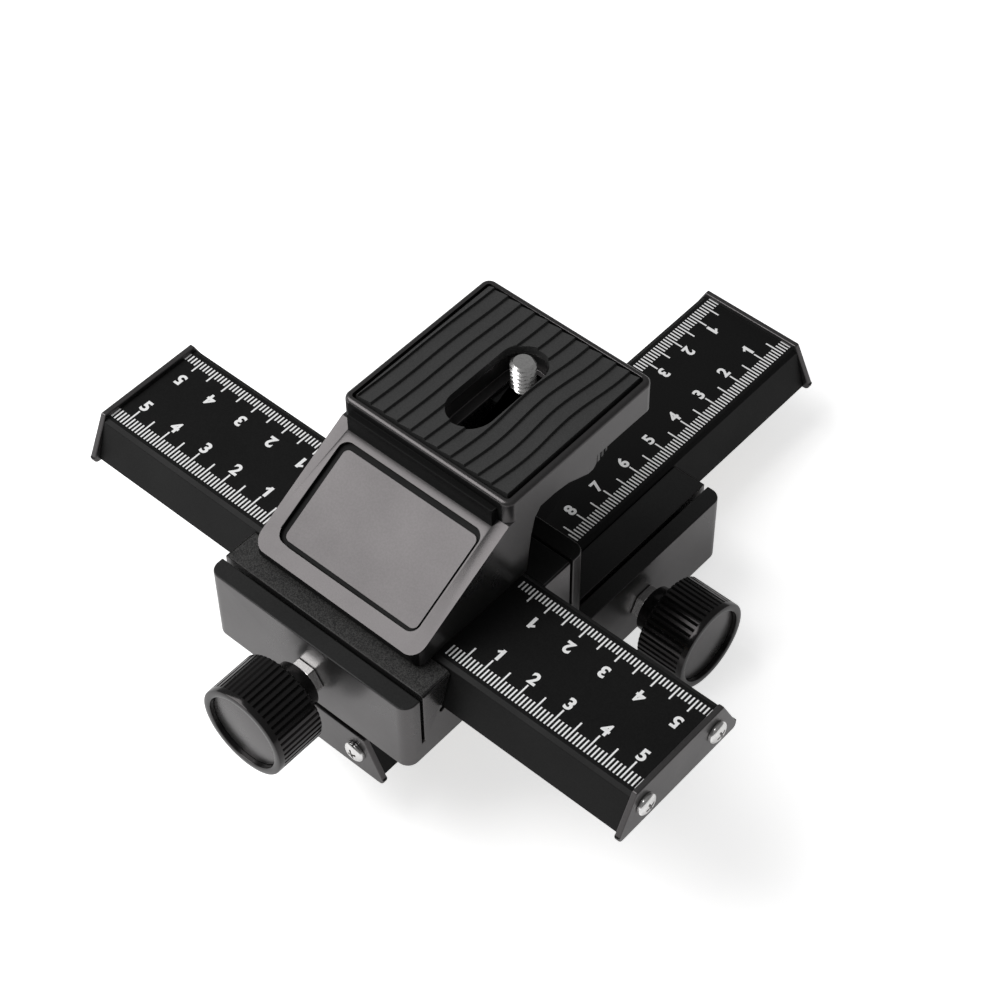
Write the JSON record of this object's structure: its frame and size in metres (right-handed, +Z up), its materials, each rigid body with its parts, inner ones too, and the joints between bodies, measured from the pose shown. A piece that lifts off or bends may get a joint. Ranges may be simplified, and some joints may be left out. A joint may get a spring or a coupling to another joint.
{
  "type": "macro focusing rail",
  "caption": "Four-way macro focusing rail: two crossed dovetail rails with millimetre scales, rack-and-pinion knobs and a padded camera platform with a captive screw.",
  "frame": {"origin": "centre of the tripod socket, on the underside of the lower carriage", "axes": "+Z up, out of the top of the camera platform. +Y along the lower rail, away from the upper stage. +X along the upper rail, towards the side that carries the lower drive knob."},
  "size_m": [0.1656, 0.1861, 0.083],
  "materials": {
    "carriage_black": "satin black coating",
    "rail_black": "fine-grained black anodised, white scale",
    "plate_black": "satin black coating",
    "badge_black": "satin black, blank",
    "bright_steel": "bright nickel plate",
    "plain_steel": "turned steel",
    "black_steel": "black oxide",
    "brass": "machined",
    "knob_black": "satin black",
    "cap_satin": "satin dark",
    "rubber": "matte, waved ribs",
    "washer_nylon": "plain"
  },
  "bodies": {
    "base": {"lower_carriage": "carriage_black", "tripod_insert": "plain_steel", "tripod_adapter": "brass", "lower_drive_bush": "bright_steel"},
    "lower_drive": {"lower_drive_shaft": "plain_steel", "lower_pinion": "brass", "lower_knob": "knob_black", "lower_knob_cap": "cap_satin", "lower_knob_grub": "black_steel"},
    "lower_lock": {"lower_lock_screw": "plain_steel", "lower_lock_knob": "knob_black"},
    "middle": {"lower_rail": "rail_black", "lower_rack": "brass", "lower_rack_screws": "plain_steel", "lower_far_plate": "plate_black", "lower_near_plate": "plate_black", "lower_plate_screws": "bright_steel", "stage_spacer": "carriage_black", "stage_bolts": "black_steel", "upper_carriage": "carriage_black", "upper_drive_bush": "bright_steel"},
    "upper_drive": {"upper_drive_shaft": "plain_steel", "upper_pinion": "brass", "upper_knob": "knob_black", "upper_knob_cap": "cap_satin", "upper_knob_grub": "black_steel"},
    "upper_lock": {"upper_lock_screw": "plain_steel", "upper_lock_knob": "knob_black"},
    "top": {"upper_rail": "rail_black", "upper_rack": "brass", "upper_rack_screws": "plain_steel", "upper_left_plate": "plate_black", "upper_right_plate": "plate_black", "upper_plate_screws": "bright_steel", "turret": "carriage_black", "turret_bolts": "black_steel", "badge_plate": "badge_black", "rubber_pad": "rubber"},
    "slider": {"screw_slider": "plain_steel"},
    "lift_washer": {"wheel_washer": "washer_nylon"},
    "screw": {"camera_screw": "bright_steel", "thumb_wheel": "knob_black"}
  },
  "joints": [
    {"name": "lower_travel", "type": "slide", "parent": "base", "child": "middle", "axis": [0, 1, 0], "range_m": [-0.049, 0.049]},
    {"name": "lower_knob_turn", "type": "hinge", "parent": "base", "child": "lower_drive", "pos_m": [0.04, 0, 0.0089], "axis": [1, 0, 0], "range_deg": [-702, 702]},
    {"name": "lower_lock_turn", "type": "hinge", "parent": "base", "child": "lower_lock", "pos_m": [-0.03, 0, 0.014], "axis": [-1, 0, 0], "range_deg": [0, 360]},
    {"name": "upper_travel", "type": "slide", "parent": "middle", "child": "top", "axis": [1, 0, 0], "range_m": [-0.049, 0.049]},
    {"name": "upper_knob_turn", "type": "hinge", "parent": "middle", "child": "upper_drive", "pos_m": [0, -0.0924, 0.0375], "axis": [0, 1, 0], "range_deg": [-702, 702]},
    {"name": "upper_lock_turn", "type": "hinge", "parent": "middle", "child": "upper_lock", "pos_m": [0, -0.0224, 0.0426], "axis": [0, 1, 0], "range_deg": [0, 360]},
    {"name": "screw_slide", "type": "slide", "parent": "top", "child": "slider", "axis": [0, 1, 0], "range_m": [-0.0145, 0]},
    {"name": "screw_lift", "type": "slide", "parent": "slider", "child": "lift_washer", "axis": [0, 0, 1], "range_m": [0, 0.0034]},
    {"name": "screw_spin", "type": "hinge", "parent": "lift_washer", "child": "screw", "pos_m": [0, -0.0095, 0.062], "axis": [0, 0, 1], "continuous": true}
  ],
  "couplings": [
    {"joint": "lower_knob_turn", "follows": "lower_travel", "rad_per_m": -250},
    {"joint": "upper_knob_turn", "follows": "upper_travel", "rad_per_m": 250}
  ]
}
